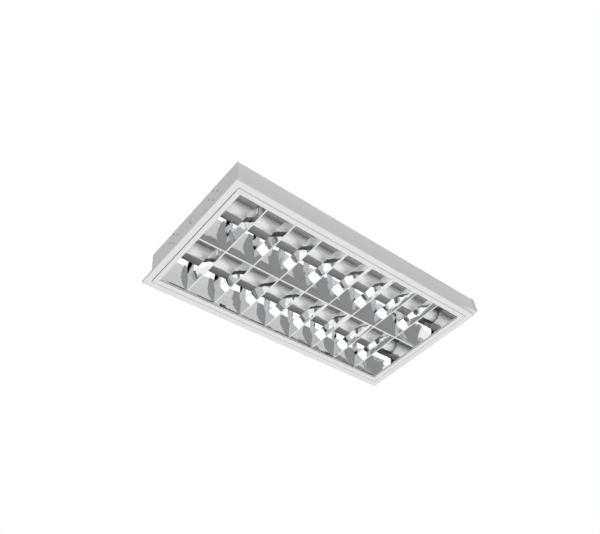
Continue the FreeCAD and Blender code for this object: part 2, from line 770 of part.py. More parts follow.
def short_rail(end):
    """White channel rail across one end of the louver, with the hole of a hinge pin."""
    rail = folded_sheet(rail_path(FRAME_X), SHEET, lengthways(-FRAME_Y, end), vec(0, 2 * FRAME_Y, 0))
    return rail.common(mitred(False, end)).cut(hinge_hole(end * (FRAME_X - SHEET / 2)))


def corner_gussets():
    """Flat L-shaped plates that join the rails inside their mitred corners."""
    margin = SHEET + BEND
    x1, y1 = FRAME_X - margin, FRAME_Y - margin
    x0, y0 = x1 - GUSSET_LEG, y1 - GUSSET_LEG
    xi, yi = x1 - GUSSET_WIDTH, y1 - GUSSET_WIDTH
    plan = [(x0, y1), (x1, y1), (x1, y0), (xi, y0), (xi, yi), (x0, yi)]
    gussets = []
    for sx in (-1, 1):
        for sy in (-1, 1):
            points = [vec(sx * x, sy * y, SHEET) for x, y in plan]
            gussets.append(prism(points, vec(0, 0, GUSSET_SHEET)))
    return gussets


def hinge_pin(end):
    """Headed pin from the louver frame out through the housing's end sheet."""
    shoulder = vec(end * (FRAME_X - SHEET - BEND), HINGE_Y, HINGE_Z)
    tip = vec(end * (WALL_X + HINGE_PIN_REACH), HINGE_Y, HINGE_Z)
    head = shoulder.sub(vec(end * HINGE_PIN_HEAD_LENGTH, 0, 0))
    return joined([rod(HINGE_PIN_RADIUS, shoulder, tip), rod(HINGE_PIN_HEAD_RADIUS, head, shoulder)])


def catch_spring(x):
    """Leaf spring in the free long rail, with a bump for the wall and a release finger."""
    half = CATCH_SHEET / 2
    leg_y = FRAME_Y - SHEET - CATCH_GAP - half
    bump_y = WALL_IN_Y - CATCH_GAP - half
    leaf_path = [
        (leg_y - CATCH_FOOT, SHEET + half),
        (leg_y, SHEET + half),
        (leg_y, RAIL_WALL_HEIGHT + CATCH_SHEET),
        (bump_y, CATCH_BUMP_Z),
        (leg_y, CATCH_HEIGHT),
        (leg_y - CATCH_FOOT / 2, CATCH_HEIGHT),
    ]
    leaf = folded_sheet(leaf_path, CATCH_SHEET, across(x - CATCH_WIDTH / 2), vec(CATCH_WIDTH, 0, 0))
    finger_path = [
        (leg_y, FINGER_Z),
        (OPENING_Y + FINGER_REACH, FINGER_Z),
        (OPENING_Y - FINGER_REACH, FINGER_Z - FINGER_DROP),
    ]
    finger = folded_sheet(finger_path, CATCH_SHEET, across(x), vec(FINGER_WIDTH, 0, 0))
    return joined([leaf, finger])


# ---- control gear -------------------------------------------------------


def ballast_case():
    """Slim metal ballast under the roof, recessed for its terminals, with an ear at each end."""
    half_length = BALLAST_LENGTH / 2
    half_width = BALLAST_WIDTH / 2
    side = half_width - STRIP_MARGIN
    ear_z = ROOF_Z - BALLAST_EAR_SHEET
    case = box(-half_length, half_length, -half_width, half_width, BALLAST_LOW_Z, ROOF_Z)
    long_edges = [e for e in case.Edges if e.Length > BALLAST_LENGTH - CUT]
    low_edges = [e for e in long_edges if e.CenterOfMass.z < BALLAST_HOLE_Z]
    shapes = [case.makeFillet(BALLAST_CORNER, low_edges)]
    cuts = []
    for end in (-1, 1):
        ear_x = end * (half_length + BALLAST_EAR)
        shapes.append(box(end * half_length, ear_x, -half_width, half_width, ear_z, ROOF_Z))
        screw_x = end * BALLAST_SCREW_X
        cuts.append(rod(SCREW_RADIUS, vec(screw_x, 0, ear_z - CUT), vec(screw_x, 0, ROOF_Z + CUT)))
        inner = end * (half_length - STRIP_LENGTH)
        cuts.append(box(inner, end * (half_length + CUT), -side, side, BALLAST_LOW_Z - CUT, ear_z))
    return joined(shapes).cut(cuts)


def ballast_lanes():
    """Places across the ballast of its terminals: tube leads outside, mains inside."""
    return [LEAD_PITCH * k for k in (-1.5, -0.5, 0.5, 1.5)]


def ballast_terminals():
    """Push-in terminal strip in each end of the ballast."""
    strips = []
    side = BALLAST_WIDTH / 2 - STRIP_MARGIN
    z = BALLAST_HOLE_Z
    for end in (-1, 1):
        inner = end * (BALLAST_LENGTH / 2 - STRIP_LENGTH)
        outer = end * (BALLAST_LENGTH / 2 - STRIP_SETBACK)
        floor = end * BALLAST_HOLE_X
        strip = box(inner, outer, -side, side, BALLAST_LOW_Z, ROOF_Z - BALLAST_EAR_SHEET)
        holes = [rod(POLE_RADIUS, vec(floor, y, z), vec(outer + end * CUT, y, z)) for y in ballast_lanes()]
        strips.append(strip.cut(holes))
    return strips


def screw(x, y, underside):
    """Pan-head screw up through a part into the roof."""
    head_low = underside - SCREW_HEAD_HEIGHT
    crown = SCREW_HEAD_HEIGHT / 2
    down = vec(0, 0, -1)
    head = rod(SCREW_HEAD_RADIUS, vec(x, y, head_low + crown), vec(x, y, underside))
    top = Part.makeCone(SCREW_HEAD_RADIUS, SCREW_HEAD_RADIUS - crown, crown, vec(x, y, head_low + crown), down)
    return joined([head, top, rod(SCREW_RADIUS, vec(x, y, underside), vec(x, y, ROOF_Z))])


def pole_places():
    """Places across the terminal block of its poles."""
    return [BLOCK_WIDTH / POLES * (i - (POLES - 1) / 2) for i in range(POLES)]


def terminal_block():
    """Mains terminal block under the roof: a row of poles with grooves between them."""
    half_width = BLOCK_WIDTH / 2
    low = ROOF_Z - BLOCK_HEIGHT
    x = BLOCK_MIDDLE_X
    z = BLOCK_HOLE_Z
    places = pole_places()
    cuts = []
    for y in places:
        for face, inward in ((BLOCK_X, 1), (BLOCK_END_X, -1)):
            floor = face + inward * BLOCK_HOLE_DEPTH
            cuts.append(rod(POLE_RADIUS, vec(face - inward * CUT, y, z), vec(floor, y, z)))
        cuts.append(rod(POLE_RADIUS, vec(x, y, low - CUT), vec(x, y, low + BLOCK_SCREW_DEPTH)))
    for y0, y1 in zip(places, places[1:]):
        left = (y0 + y1 - BLOCK_GROOVE) / 2
        right = left + BLOCK_GROOVE
        cuts.append(box(BLOCK_X - CUT, BLOCK_END_X + CUT, left, right, low - CUT, low + BLOCK_GROOVE_DEPTH))
    block = box(BLOCK_X, BLOCK_END_X, -half_width, half_width, low, ROOF_Z)
    return block.cut(cuts)


def clamp_screws():
    """Clamp screw of each pole, seated in the block's lower face."""
    top = ROOF_Z - BLOCK_HEIGHT + BLOCK_SCREW_DEPTH
    low = top - BLOCK_SCREW_DEPTH / 2
    return [rod(CLAMP_RADIUS, vec(BLOCK_MIDDLE_X, y, low), vec(BLOCK_MIDDLE_X, y, top)) for y in pole_places()]


def earth_lug():
    """Ring lug under the earth screw, with a barrel for its lead."""
    low = ROOF_Z - LUG_SHEET
    barrel_start = vec(EARTH_X - SCREW_HEAD_RADIUS, EARTH_Y, LUG_BARREL_Z)
    barrel_end = vec(EARTH_X - LUG_BARREL_LENGTH, EARTH_Y, LUG_BARREL_Z)
    ring = rod(LUG_RADIUS, vec(EARTH_X, EARTH_Y, low), vec(EARTH_X, EARTH_Y, ROOF_Z))
    hole = rod(SCREW_RADIUS, vec(EARTH_X, EARTH_Y, low - CUT), vec(EARTH_X, EARTH_Y, ROOF_Z + CUT))
    return joined([ring, rod(LUG_BARREL_RADIUS, barrel_start, barrel_end)]).cut(hole)


# ---- leads --------------------------------------------------------------


def lead(points, radius):
    """Insulated lead along straight runs joined by arcs, each as wide as its runs allow."""
    edges = []
    bends = []
    start = points[0]
    for before, corner, after in zip(points, points[1:], points[2:]):
        into = corner.sub(before)
        out = after.sub(corner)
        reach = LEAD_ARC_SHARE * min(into.Length, out.Length)
        half = into.getAngle(out) / 2
        bend = reach / math.tan(half)
        into.normalize()
        out.normalize()
        inward = out.sub(into).normalize()
        a = corner.sub(into.multiply(reach))
        b = corner.add(out.multiply(reach))
        middle = corner.add(inward.multiply(bend * (1 / math.cos(half) - 1)))
        edges.append(Part.LineSegment(start, a).toShape())
        edges.append(Part.Arc(a, middle, b).toShape())
        bends.append(round(bend, 1))
        start = b
    edges.append(Part.LineSegment(start, points[-1]).toShape())
    route = Part.Wire(edges)
    print("lead length", round(route.Length, 1), "bend radii", bends)
    ring = Part.Wire(Part.makeCircle(radius, points[0], points[1].sub(points[0])))
    return route.makePipeShell([ring], True, False)


def tube_lead_route(end, side):
    """Hand-laid route from the ballast along the roof to one lampholder."""
    face, outward = HOLDER_FACES[0 if end < 0 else 1]
    start = BALLAST_LENGTH / 2
    span = end * (face + outward * HOLDER_DEPTH / 2) - start
    holder_y = ROW_Y - HOLDER_RADIUS
    lane = ballast_lanes()[-1]
    stations = [
        (BALLAST_HOLE_X, lane, BALLAST_HOLE_Z),
        (start + 0.15 * span, lane, BALLAST_HOLE_Z),
        (start + 0.45 * span, lane + 9, ROOF_Z - 3.6),
        (start + 0.7 * span, lane + 15, ROOF_Z - 3.6),
        (start + 0.95 * span, lane + 22, ROOF_Z - 5.3),
        (start + span, holder_y - 12, ROOF_Z - 6.3),
        (start + span, holder_y, ROOF_Z - 6.3),
    ]
    return [vec(end * x, side * y, z) for x, y, z in stations]


def tube_leads(end):
    return [lead(tube_lead_route(end, side), TWIN_LEAD_RADIUS) for side in (-1, 1)]


def mains_lead(pole, lane):
    """Hand-laid route from a pole of the terminal block to the ballast."""
    y0 = pole_places()[pole]
    y1 = ballast_lanes()[lane]
    points = [
        vec(BLOCK_END_X - BLOCK_HOLE_DEPTH, y0, BLOCK_HOLE_Z),
        vec(BLOCK_END_X + 14, y0, BLOCK_HOLE_Z),
        vec(BLOCK_END_X + 38, (y0 + y1) / 2 - 2, ROOF_Z - 4.8),
        vec(BLOCK_END_X + 68, y1, BALLAST_HOLE_Z),
        vec(-BALLAST_HOLE_X, y1, BALLAST_HOLE_Z),
    ]
    return lead(points, LEAD_RADIUS)


def earth_lead():
    """Short lead from the earth pole to the barrel of the earth lug."""
    y0 = pole_places()[-1]
    points = [
        vec(BLOCK_END_X - BLOCK_HOLE_DEPTH, y0, BLOCK_HOLE_Z),
        vec(BLOCK_END_X + 4, y0, BLOCK_HOLE_Z),
        vec(BLOCK_END_X + 11, EARTH_Y, LUG_BARREL_Z),
        vec(EARTH_X - LUG_BARREL_LENGTH, EARTH_Y, LUG_BARREL_Z),
    ]
    return lead(points, LEAD_RADIUS)


def lead_clip(end, side):
    """Saddle clip that holds a tube lead to the roof, on the middle of a straight run."""
    route = tube_lead_route(end, side)
    a, b = route[2], route[3]
    middle = a.add(b).multiply(0.5)
    low = middle.z - TWIN_LEAD_RADIUS - CLIP_CLEARANCE - CLIP_WALL
    x0, x1 = middle.x - CLIP_LENGTH / 2, middle.x + CLIP_LENGTH / 2
    y0, y1 = middle.y - CLIP_WIDTH / 2, middle.y + CLIP_WIDTH / 2
    return box(x0, x1, y0, y1, low, ROOF_Z).cut(rod(TWIN_LEAD_RADIUS + CLIP_CLEARANCE, a, b))


# ---- whole light --------------------------------------------------------


def save_housing():
    save("housing_pan", [housing_pan()])
    save("near_end_plate", [near_end_plate()])
    save("far_end_plate", [far_end_plate()])
    for (face, outward), end in zip(HOLDER_FACES, ("near", "far")):
        for number, y in enumerate(ROW_CENTRES, 1):
            save(f"lampholder_{end}_{number}", [lampholder(y, face, outward)])


def save_gear():
    ear_z = ROOF_Z - BALLAST_EAR_SHEET
    save("ballast_case", [ballast_case()])
    save("ballast_terminals", ballast_terminals())
    save("ballast_screws", [screw(end * BALLAST_SCREW_X, 0, ear_z) for end in (-1, 1)])
    save("terminal_block", [terminal_block()])
    save("terminal_screws", clamp_screws())
    save("earth_lug", [earth_lug()])
    save("earth_screw", [screw(EARTH_X, EARTH_Y, ROOF_Z - LUG_SHEET)])
    save("earth_lead", [earth_lead()])
    save("mains_leads", [mains_lead(0, 1), mains_lead(1, 2)])
    save("tube_leads_near", tube_leads(-1))
    save("tube_leads_far", tube_leads(1))
    save("lead_clips", [lead_clip(end, side) for end in (-1, 1) for side in (-1, 1)])


def save_louver():
    save("rail_long_hinge", [long_rail(-1)])
    save("rail_long_free", [long_rail(1)])
    save("rail_short_near", [short_rail(-1)])
    save("rail_short_far", [short_rail(1)])
    save("corner_gussets", corner_gussets())
    save("hinge_pins", [hinge_pin(end) for end in (-1, 1)])
    save("catch_springs", [catch_spring(x) for x in (-CATCH_X, CATCH_X)])
    save("side_reflector_hinge", [side_reflector(-1)])
    save("side_reflector_free", [side_reflector(1)])
    save("centre_reflector", [centre_reflector()])
    save("end_reflector_near", [end_reflector(-1)])
    save("end_reflector_far", [end_reflector(1)])
    spaces = [trough_space(centre) for centre in ROW_CENTRES]
    for i in range(CELLS - 1):
        save(f"cross_blade_{i + 1}", cross_blade(i, spaces))


def save_tubes():
    for number, y in enumerate(ROW_CENTRES, 1):
        save(f"tube_{number}_glass", [tube_glass(y)])
        save(f"tube_{number}_caps", tube_caps(y))
        save(f"tube_{number}_pins", tube_pins(y))
        save(f"tube_{number}_rotors", tube_rotors(y))


def main():
    os.makedirs("parts", exist_ok=True)
    save_housing()
    save_gear()
    save_louver()
    save_tubes()


main()
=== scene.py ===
import json
import logging
import math
from collections.abc import Sequence
from dataclasses import dataclass
from enum import Enum

import bmesh
import bpy
from mathutils import Matrix, Vector


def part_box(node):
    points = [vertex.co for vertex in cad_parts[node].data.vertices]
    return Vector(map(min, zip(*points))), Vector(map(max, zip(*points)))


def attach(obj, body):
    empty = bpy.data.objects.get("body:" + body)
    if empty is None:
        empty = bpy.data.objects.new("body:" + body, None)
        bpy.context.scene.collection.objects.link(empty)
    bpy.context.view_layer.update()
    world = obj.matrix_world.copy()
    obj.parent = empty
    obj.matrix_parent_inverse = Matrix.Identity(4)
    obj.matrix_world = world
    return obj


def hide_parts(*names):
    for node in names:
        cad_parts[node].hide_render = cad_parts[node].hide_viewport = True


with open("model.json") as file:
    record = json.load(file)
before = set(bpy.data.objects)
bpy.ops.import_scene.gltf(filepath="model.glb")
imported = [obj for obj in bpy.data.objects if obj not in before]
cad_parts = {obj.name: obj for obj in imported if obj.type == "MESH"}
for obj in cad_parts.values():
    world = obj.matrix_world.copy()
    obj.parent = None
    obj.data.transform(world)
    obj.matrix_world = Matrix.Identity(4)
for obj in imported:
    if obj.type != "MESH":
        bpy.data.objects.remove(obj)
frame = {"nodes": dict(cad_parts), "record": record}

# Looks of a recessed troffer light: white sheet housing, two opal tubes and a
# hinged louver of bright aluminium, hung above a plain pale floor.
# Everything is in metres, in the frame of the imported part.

LOG = logging.getLogger("troffer")
Colour = tuple[float, float, float]
Point = tuple[float, float, float]
MM = 0.001
# Numbers of the colour sockets of a Mix node, whose names aren't unique.
COLOUR_MIX_A, COLOUR_MIX_B, COLOUR_MIX_RESULT = 6, 7, 2


# ---- materials ------------------------------------------------------------


class Bench:
    """Node tree of one material, with short calls to add and join its nodes."""

    def __init__(self, name: str) -> None:
        """Start an empty material.

        Args:
            name: Name of the material.
        """
        self.material = bpy.data.materials.new(name)
        self.material.use_nodes = True
        self.tree = self.material.node_tree
        self.tree.nodes.clear()
        self.output = self.add("ShaderNodeOutputMaterial")
        self.shader = self.add("ShaderNodeBsdfPrincipled")
        self.join(self.shader, "BSDF", self.output, "Surface")
        self.place = self.add("ShaderNodeTexCoord")

    def add(self, kind: str, **settings: object) -> bpy.types.Node:
        """Add a node.

        Args:
            kind: Blender's name of the node type.
            **settings: Properties of the node to set.

        Returns:
            The new node.
        """
        node = self.tree.nodes.new(kind)
        for key, value in settings.items():
            setattr(node, key, value)
        return node

    def join(
        self, source: bpy.types.Node, output: str | int, target: bpy.types.Node, socket: str | int
    ) -> None:
        """Link one node's output to another node's input.

        Args:
            source: Node that gives the value.
            output: Name or number of its output.
            target: Node that takes it.
            socket: Name or number of its input.
        """
        self.tree.links.new(source.outputs[output], target.inputs[socket])

    def stretched(self, scale: Point) -> bpy.types.Node:
        """Object coordinates stretched by a scale along each axis.

        Args:
            scale: Factor along X, Y and Z.

        Returns:
            The mapping node.
        """
        mapping = self.add("ShaderNodeMapping")
        mapping.inputs["Scale"].default_value = scale
        self.join(self.place, "Object", mapping, "Vector")
        return mapping

    def noise(self, scale: Point, detail: float = 2.0) -> bpy.types.Node:
        """Noise on stretched Object coordinates.

        Args:
            scale: Grains per metre along X, Y and Z.
            detail: Octaves of the noise.

        Returns:
            The noise node.
        """
        noise = self.add("ShaderNodeTexNoise")
        noise.inputs["Scale"].default_value = 1.0
        noise.inputs["Detail"].default_value = detail
        self.join(self.stretched(scale), "Vector", noise, "Vector")
        return noise

    def ramp(
        self, source: bpy.types.Node, output: str, low: float, high: float, colours: tuple[Colour, Colour]
    ) -> bpy.types.Node:
        """Colours between two points of a value.

        Args:
            source: Node that gives the value.
            output: Name of its output.
            low: Value at the first colour.
            high: Value at the second colour.
            colours: The two colours.

        Returns:
            The ramp node.
        """
        ramp = self.add("ShaderNodeValToRGB")
        stops = ramp.color_ramp.elements
        stops[0].position, stops[1].position = low, high
        stops[0].color = (*colours[0], 1.0)
        stops[1].color = (*colours[1], 1.0)
        self.join(source, output, ramp, "Fac")
        return ramp

    def span(self, source: bpy.types.Node, output: str, low: float, high: float) -> bpy.types.Node:
        """Spread a value from 0 to 1 between two numbers.

        Args:
            source: Node that gives the value.
            output: Name of its output.
            low: Result at 0.
            high: Result at 1.

        Returns:
            The node with the result.
        """
        spread = self.add("ShaderNodeMapRange")
        spread.inputs["To Min"].default_value = low
        spread.inputs["To Max"].default_value = high
        self.join(source, output, spread, "Value")
        return spread

    def bump(self, source: bpy.types.Node, output: str, depth: float, strength: float = 1.0) -> None:
        """Relief on the shader from a value.

        Args:
            source: Node that gives the height.
            output: Name of its output.
            depth: Height of a value of 1, in metres.
            strength: Strength of the relief.
        """
        bump = self.add("ShaderNodeBump")
        bump.inputs["Distance"].default_value = depth
        bump.inputs["Strength"].default_value = strength
        self.join(source, output, bump, "Height")
        self.join(bump, "Normal", self.shader, "Normal")

    def fix(self, **values: float) -> None:
        """Set uniform values on the shader's own sockets.

        Args:
            **values: Socket names with underscores for spaces, and values.
        """
        for key, value in values.items():
            self.shader.inputs[key.replace("_", " ")].default_value = value


def paler(colour: Colour, factor: float) -> Colour:
    """Multiply a colour.

    Args:
        colour: Linear colour.
        factor: Brightness factor.

    Returns:
        The scaled colour, at most 1 in each channel.
    """
    return tuple(min(1.0, part * factor) for part in colour)


@dataclass(frozen=True)
class PowderCoat:
    """Smooth white powder coat on steel sheet, with a fine orange peel."""

    name: str
    colour: Colour
    roughness: float = 0.42
    mottle: float = 0.02
    peel_per_m: float = 700.0
    peel_depth: float = 0.00003
    gloss_spread: float = 0.06
    clouds_per_m: float = 9.0

    def make(self) -> bpy.types.Material:
        """Build the material.

        Returns:
            The finished material.
        """
        bench = Bench(self.name)
        cloud = bench.noise((self.clouds_per_m,) * 3, 3.0)
        tint = bench.ramp(cloud, "Fac", 0.3, 0.7, (paler(self.colour, 1 - self.mottle), self.colour))
        bench.join(tint, "Color", bench.shader, "Base Color")
        peel = bench.noise((self.peel_per_m,) * 3, 2.0)
        spread = self.gloss_spread
        gloss = bench.span(peel, "Fac", self.roughness - spread, self.roughness + spread)
        bench.join(gloss, "Result", bench.shader, "Roughness")
        bench.bump(peel, "Fac", self.peel_depth, 0.5)
        return bench.material


@dataclass(frozen=True)
class BrightAluminium:
    """Bright anodised aluminium sheet with faint rolling lines along X."""

    name: str
    colour: Colour
    roughness: float
    line_spread: float = 0.03
    lines_per_m: Point = (8.0, 900.0, 900.0)
    waves_per_m: Point = (30.0, 45.0, 45.0)
    wave_depth: float = 0.00035

    def make(self) -> bpy.types.Material:
        """Build the material.

        Returns:
            The finished material.
        """
        bench = Bench(self.name)
        bench.fix(Metallic=1.0)
        lines = bench.noise(self.lines_per_m, 3.0)
        tint = bench.ramp(lines, "Fac", 0.25, 0.75, (paler(self.colour, 0.96), self.colour))
        bench.join(tint, "Color", bench.shader, "Base Color")
        half = self.line_spread / 2
        gloss = bench.span(lines, "Fac", self.roughness - half, self.roughness + half)
        bench.join(gloss, "Result", bench.shader, "Roughness")
        waves = bench.noise(self.waves_per_m, 1.5)
        bench.bump(waves, "Fac", self.wave_depth, 1.0)
        return bench.material


@dataclass(frozen=True)
class OpalTube:
    """Unlit lamp glass: white coat inside clear glass, greyer at the ends."""

    name: str
    colour: Colour
    end_colour: Colour
    middle_x: float
    half_length: float
    end_length: float = 0.03
    streaks_per_m: Point = (7.0, 60.0, 60.0)

    def make(self) -> bpy.types.Material:
        """Build the material.

        Returns:
            The finished material.
        """
        bench = Bench(self.name)
        bench.fix(Roughness=0.16, Coat_Weight=0.6, Coat_Roughness=0.03, Coat_IOR=1.5)
        streak = bench.noise(self.streaks_per_m, 3.0)
        body = bench.ramp(streak, "Fac", 0.3, 0.7, (paler(self.colour, 0.93), self.colour))
        parts = bench.add("ShaderNodeSeparateXYZ")
        bench.join(bench.place, "Object", parts, "Vector")
        offset = bench.add("ShaderNodeMath", operation="SUBTRACT")
        offset.inputs[1].default_value = self.middle_x
        bench.join(parts, "X", offset, 0)
        away = bench.add("ShaderNodeMath", operation="ABSOLUTE")
        bench.join(offset, "Value", away, 0)
        reach = bench.add("ShaderNodeMapRange", interpolation_type="SMOOTHSTEP")
        reach.inputs["From Min"].default_value = self.half_length - self.end_length
        reach.inputs["From Max"].default_value = self.half_length
        bench.join(away, "Value", reach, "Value")
        mix = bench.add("ShaderNodeMix", data_type="RGBA")
        bench.join(reach, "Result", mix, "Factor")
        bench.join(body, "Color", mix, COLOUR_MIX_A)
        mix.inputs[COLOUR_MIX_B].default_value = (*self.end_colour, 1.0)
        bench.join(mix, COLOUR_MIX_RESULT, bench.shader, "Base Color")
        return bench.material


@dataclass(frozen=True)
class PlainMetal:
    """Bare metal with fine grain, and spangle where it is galvanised."""

    name: str
    colour: Colour
    roughness: float
    grain_per_m: Point = (2500.0, 2500.0, 2500.0)
    spangle_per_m: float = 0.0
    gloss_spread: float = 0.08
    grain_depth: float = 0.00001

    def make(self) -> bpy.types.Material:
        """Build the material.

        Returns:
            The finished material.
        """
        bench = Bench(self.name)
        bench.fix(Metallic=1.0)
        grain = bench.noise(self.grain_per_m, 2.0)
        spread = self.gloss_spread
        gloss = bench.span(grain, "Fac", self.roughness - spread, self.roughness + spread)
        bench.join(gloss, "Result", bench.shader, "Roughness")
        if self.spangle_per_m:
            flakes = bench.add("ShaderNodeTexVoronoi")
            flakes.inputs["Scale"].default_value = self.spangle_per_m
            bench.join(bench.place, "Object", flakes, "Vector")
            parts = bench.add("ShaderNodeSeparateColor")
            bench.join(flakes, "Color", parts, "Color")
            tint = bench.ramp(parts, "Red", 0.0, 1.0, (paler(self.colour, 0.78), self.colour))
        else:
            tint = bench.ramp(grain, "Fac", 0.3, 0.7, (paler(self.colour, 0.9), self.colour))
        bench.join(tint, "Color", bench.shader, "Base Color")
        bench.bump(grain, "Fac", self.grain_depth, 0.4)
        return bench.material


@dataclass(frozen=True)
class MouldedPlastic:
    """Moulded or extruded plastic with a fine texture from its tool."""

    name: str
    colour: Colour
    roughness: float = 0.45
    grain_per_m: float = 1800.0
    clouds_per_m: float = 60.0
    gloss_spread: float = 0.05
    grain_depth: float = 0.00002

    def make(self) -> bpy.types.Material:
        """Build the material.

        Returns:
            The finished material.
        """
        bench = Bench(self.name)
        grain = bench.noise((self.grain_per_m,) * 3, 2.0)
        cloud = bench.noise((self.clouds_per_m,) * 3, 2.0)
        tint = bench.ramp(cloud, "Fac", 0.3, 0.7, (paler(self.colour, 0.95), self.colour))
        bench.join(tint, "Color", bench.shader, "Base Color")
        spread = self.gloss_spread
        gloss = bench.span(grain, "Fac", self.roughness - spread, self.roughness + spread)
        bench.join(gloss, "Result", bench.shader, "Roughness")
        bench.bump(grain, "Fac", self.grain_depth, 0.4)
        return bench.material


# ---- finishes of this light -----------------------------------------------

TUBE_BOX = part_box("tube_1_glass")
TUBE_MIDDLE_X = (TUBE_BOX[0][0] + TUBE_BOX[1][0]) / 2
TUBE_HALF_LENGTH = (TUBE_BOX[1][0] - TUBE_BOX[0][0]) / 2


class Finish(Enum):
    """Names of the finishes; all but the dark fibre, which is also painted shade, are slots of the record.
    """

    WHITE_STEEL = "white_steel"
    WHITE_RAIL = "white_rail"
    MIRROR_ALUMINIUM = "mirror_aluminium"
    TUBE_GLASS = "tube_glass"
    CAP_METAL = "cap_metal"
    PIN_BRASS = "pin_brass"
    WHITE_PLASTIC = "white_plastic"
    BALLAST_METAL = "ballast_metal"
    SPRING_STEEL = "spring_steel"
    SCREW_STEEL = "screw_steel"
    LEAD_WHITE = "lead_white"
    LEAD_GREEN = "lead_green"
    LUG_METAL = "lug_metal"
    DARK_FIBRE_AND_SHADE = "dark_fibre_and_shade"


FINISHES = {
    Finish.WHITE_STEEL: PowderCoat("white_steel", (0.80, 0.80, 0.795)),
    Finish.WHITE_RAIL: PowderCoat("white_rail", (0.80, 0.80, 0.80), roughness=0.36),
    Finish.MIRROR_ALUMINIUM: BrightAluminium("mirror_aluminium", (0.85, 0.855, 0.86), 0.05),
    Finish.TUBE_GLASS: OpalTube(
        "tube_glass", (0.90, 0.905, 0.90), (0.55, 0.55, 0.54), TUBE_MIDDLE_X, TUBE_HALF_LENGTH
    ),
    Finish.CAP_METAL: PlainMetal("cap_metal", (0.72, 0.72, 0.71), 0.3),
    Finish.PIN_BRASS: PlainMetal("pin_brass", (0.72, 0.58, 0.32), 0.25),
    Finish.WHITE_PLASTIC: MouldedPlastic("white_plastic", (0.82, 0.82, 0.80)),
    Finish.BALLAST_METAL: PlainMetal("ballast_metal", (0.62, 0.63, 0.64), 0.38, spangle_per_m=140.0),
    Finish.SPRING_STEEL: PlainMetal("spring_steel", (0.56, 0.56, 0.57), 0.28, (200.0, 4000.0, 4000.0)),
    Finish.SCREW_STEEL: PlainMetal("screw_steel", (0.60, 0.60, 0.58), 0.3),
    Finish.LEAD_WHITE: MouldedPlastic("lead_white", (0.78, 0.78, 0.76), 0.4),
    Finish.LEAD_GREEN: MouldedPlastic("lead_green", (0.10, 0.32, 0.06), 0.4),
    Finish.LUG_METAL: PlainMetal("lug_metal", (0.66, 0.66, 0.65), 0.25),
    # Dark fibre on the cap discs; the same dark on the holder feet, gap strip and knock-out disc is
    # painted shade.
    Finish.DARK_FIBRE_AND_SHADE: MouldedPlastic("dark_fibre_and_shade", (0.03, 0.03, 0.03), 0.6),
}


class Dressing:
    """Gives every carried-over CAD node the finish of its slot."""

    def __init__(self) -> None:
        """Build one material per slot."""
        self.materials = {finish: recipe.make() for finish, recipe in FINISHES.items()}

    def dress_nodes(self) -> None:
        """Put the materials on the CAD nodes, by their slots in the record."""
        for part in frame["record"]["subparts"]:
            node = frame["nodes"][part["node"]]
            node.data.materials.clear()
            node.data.materials.append(self.materials[Finish(part["material_slot"])])
            LOG.info("dressed %s in %s", part["node"], part["material_slot"])


# ---- pieces ---------------------------------------------------------------


@dataclass
class Maker:
    """Puts finished meshes and curves into the scene."""

    dressing: Dressing

    def show(self, piece: bpy.types.Object, body: str, finish: Finish, painted: bool = True) -> None:
        """Link a piece, dress it and let it ride on a body.

        Args:
            piece: Object at the origin.
            body: Name of the moving body.
            finish: Finish it gets.
            painted: Whether the finish is a slot of the record; not used.
        """
        piece.data.materials.append(self.dressing.materials[finish])
        bpy.context.scene.collection.objects.link(piece)
        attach(piece, body)
        LOG.info("made %s on %s", piece.name, body)

    def mesh_piece(self, name: str, mesh: bmesh.types.BMesh, smooth_deg: float = 35.0) -> bpy.types.Object:
        """Turn a bmesh in millimetres into an object in metres.

        Args:
            name: Name of the piece.
            mesh: Closed mesh; it is freed here.
            smooth_deg: Angle below which an edge is shaded smooth.

        Returns:
            The unlinked object.
        """
        bmesh.ops.remove_doubles(mesh, verts=mesh.verts, dist=0.0005)
        bmesh.ops.recalc_face_normals(mesh, faces=mesh.faces)
        bmesh.ops.scale(mesh, vec=(MM, MM, MM), verts=mesh.verts)
        for face in mesh.faces:
            face.smooth = True
        for edge in mesh.edges:
            edge.smooth = edge.is_manifold and edge.calc_face_angle() < math.radians(smooth_deg)
        data = bpy.data.meshes.new(name)
        mesh.to_mesh(data)
        mesh.free()
        return bpy.data.objects.new(name, data)


def spun(mesh: bmesh.types.BMesh, profile: Sequence[tuple[float, float]], axis: Point, steps: int) -> None:
    """Spin a closed profile round a line along X.

    Args:
        mesh: Mesh to add to.
        profile: Pairs of place along X and radius, in mm, once round the section.
        axis: A point on the line.
        steps: Facets round the turn.
    """
    ring = [mesh.verts.new((x, axis[1] + radius, axis[2])) for x, radius in profile]
    edges = [mesh.edges.new(pair) for pair in zip(ring, ring[1:] + ring[:1])]
    bmesh.ops.spin(
        mesh, geom=ring + edges, cent=axis, axis=(1.0, 0.0, 0.0),
        angle=math.tau, steps=steps, use_merge=True, use_duplicate=False,
    )


